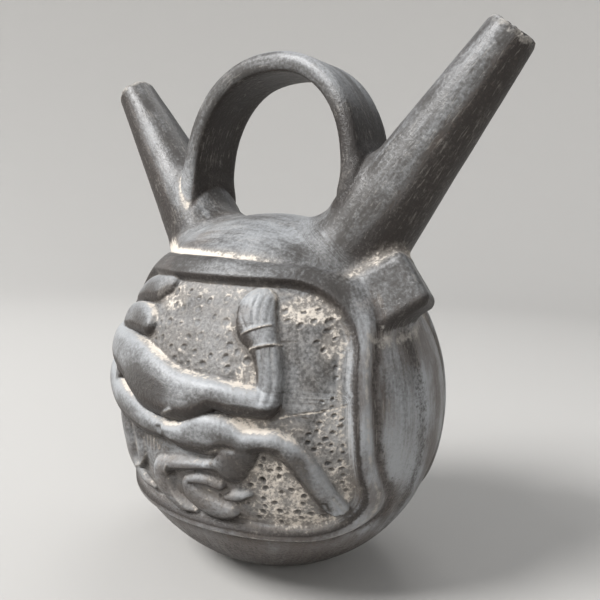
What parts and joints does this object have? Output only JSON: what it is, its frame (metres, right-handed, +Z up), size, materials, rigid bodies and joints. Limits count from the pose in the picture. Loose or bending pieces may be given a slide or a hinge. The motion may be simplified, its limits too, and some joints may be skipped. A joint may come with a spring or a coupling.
{
  "type": "double-spout bottle",
  "caption": "Hollow blackware bottle with diverging conical spouts, an arched strap handle between them, shoulder lugs and a framed relief panel of a sprawling figure.",
  "frame": {"origin": "the centre of the flat foot, on the ground", "axes": "+Z up; the spouts and the handle stand in the XZ plane; the front relief panel faces -Y"},
  "size_m": [0.1934, 0.1222, 0.1981],
  "materials": {
    "blackware": "burnished, smoke-blackened fired clay with a soft grey sheen, brown-black patches and pale earth left in the recesses"
  },
  "bodies": {
    "root": {"bottle": "blackware"}
  },
  "joints": []
}
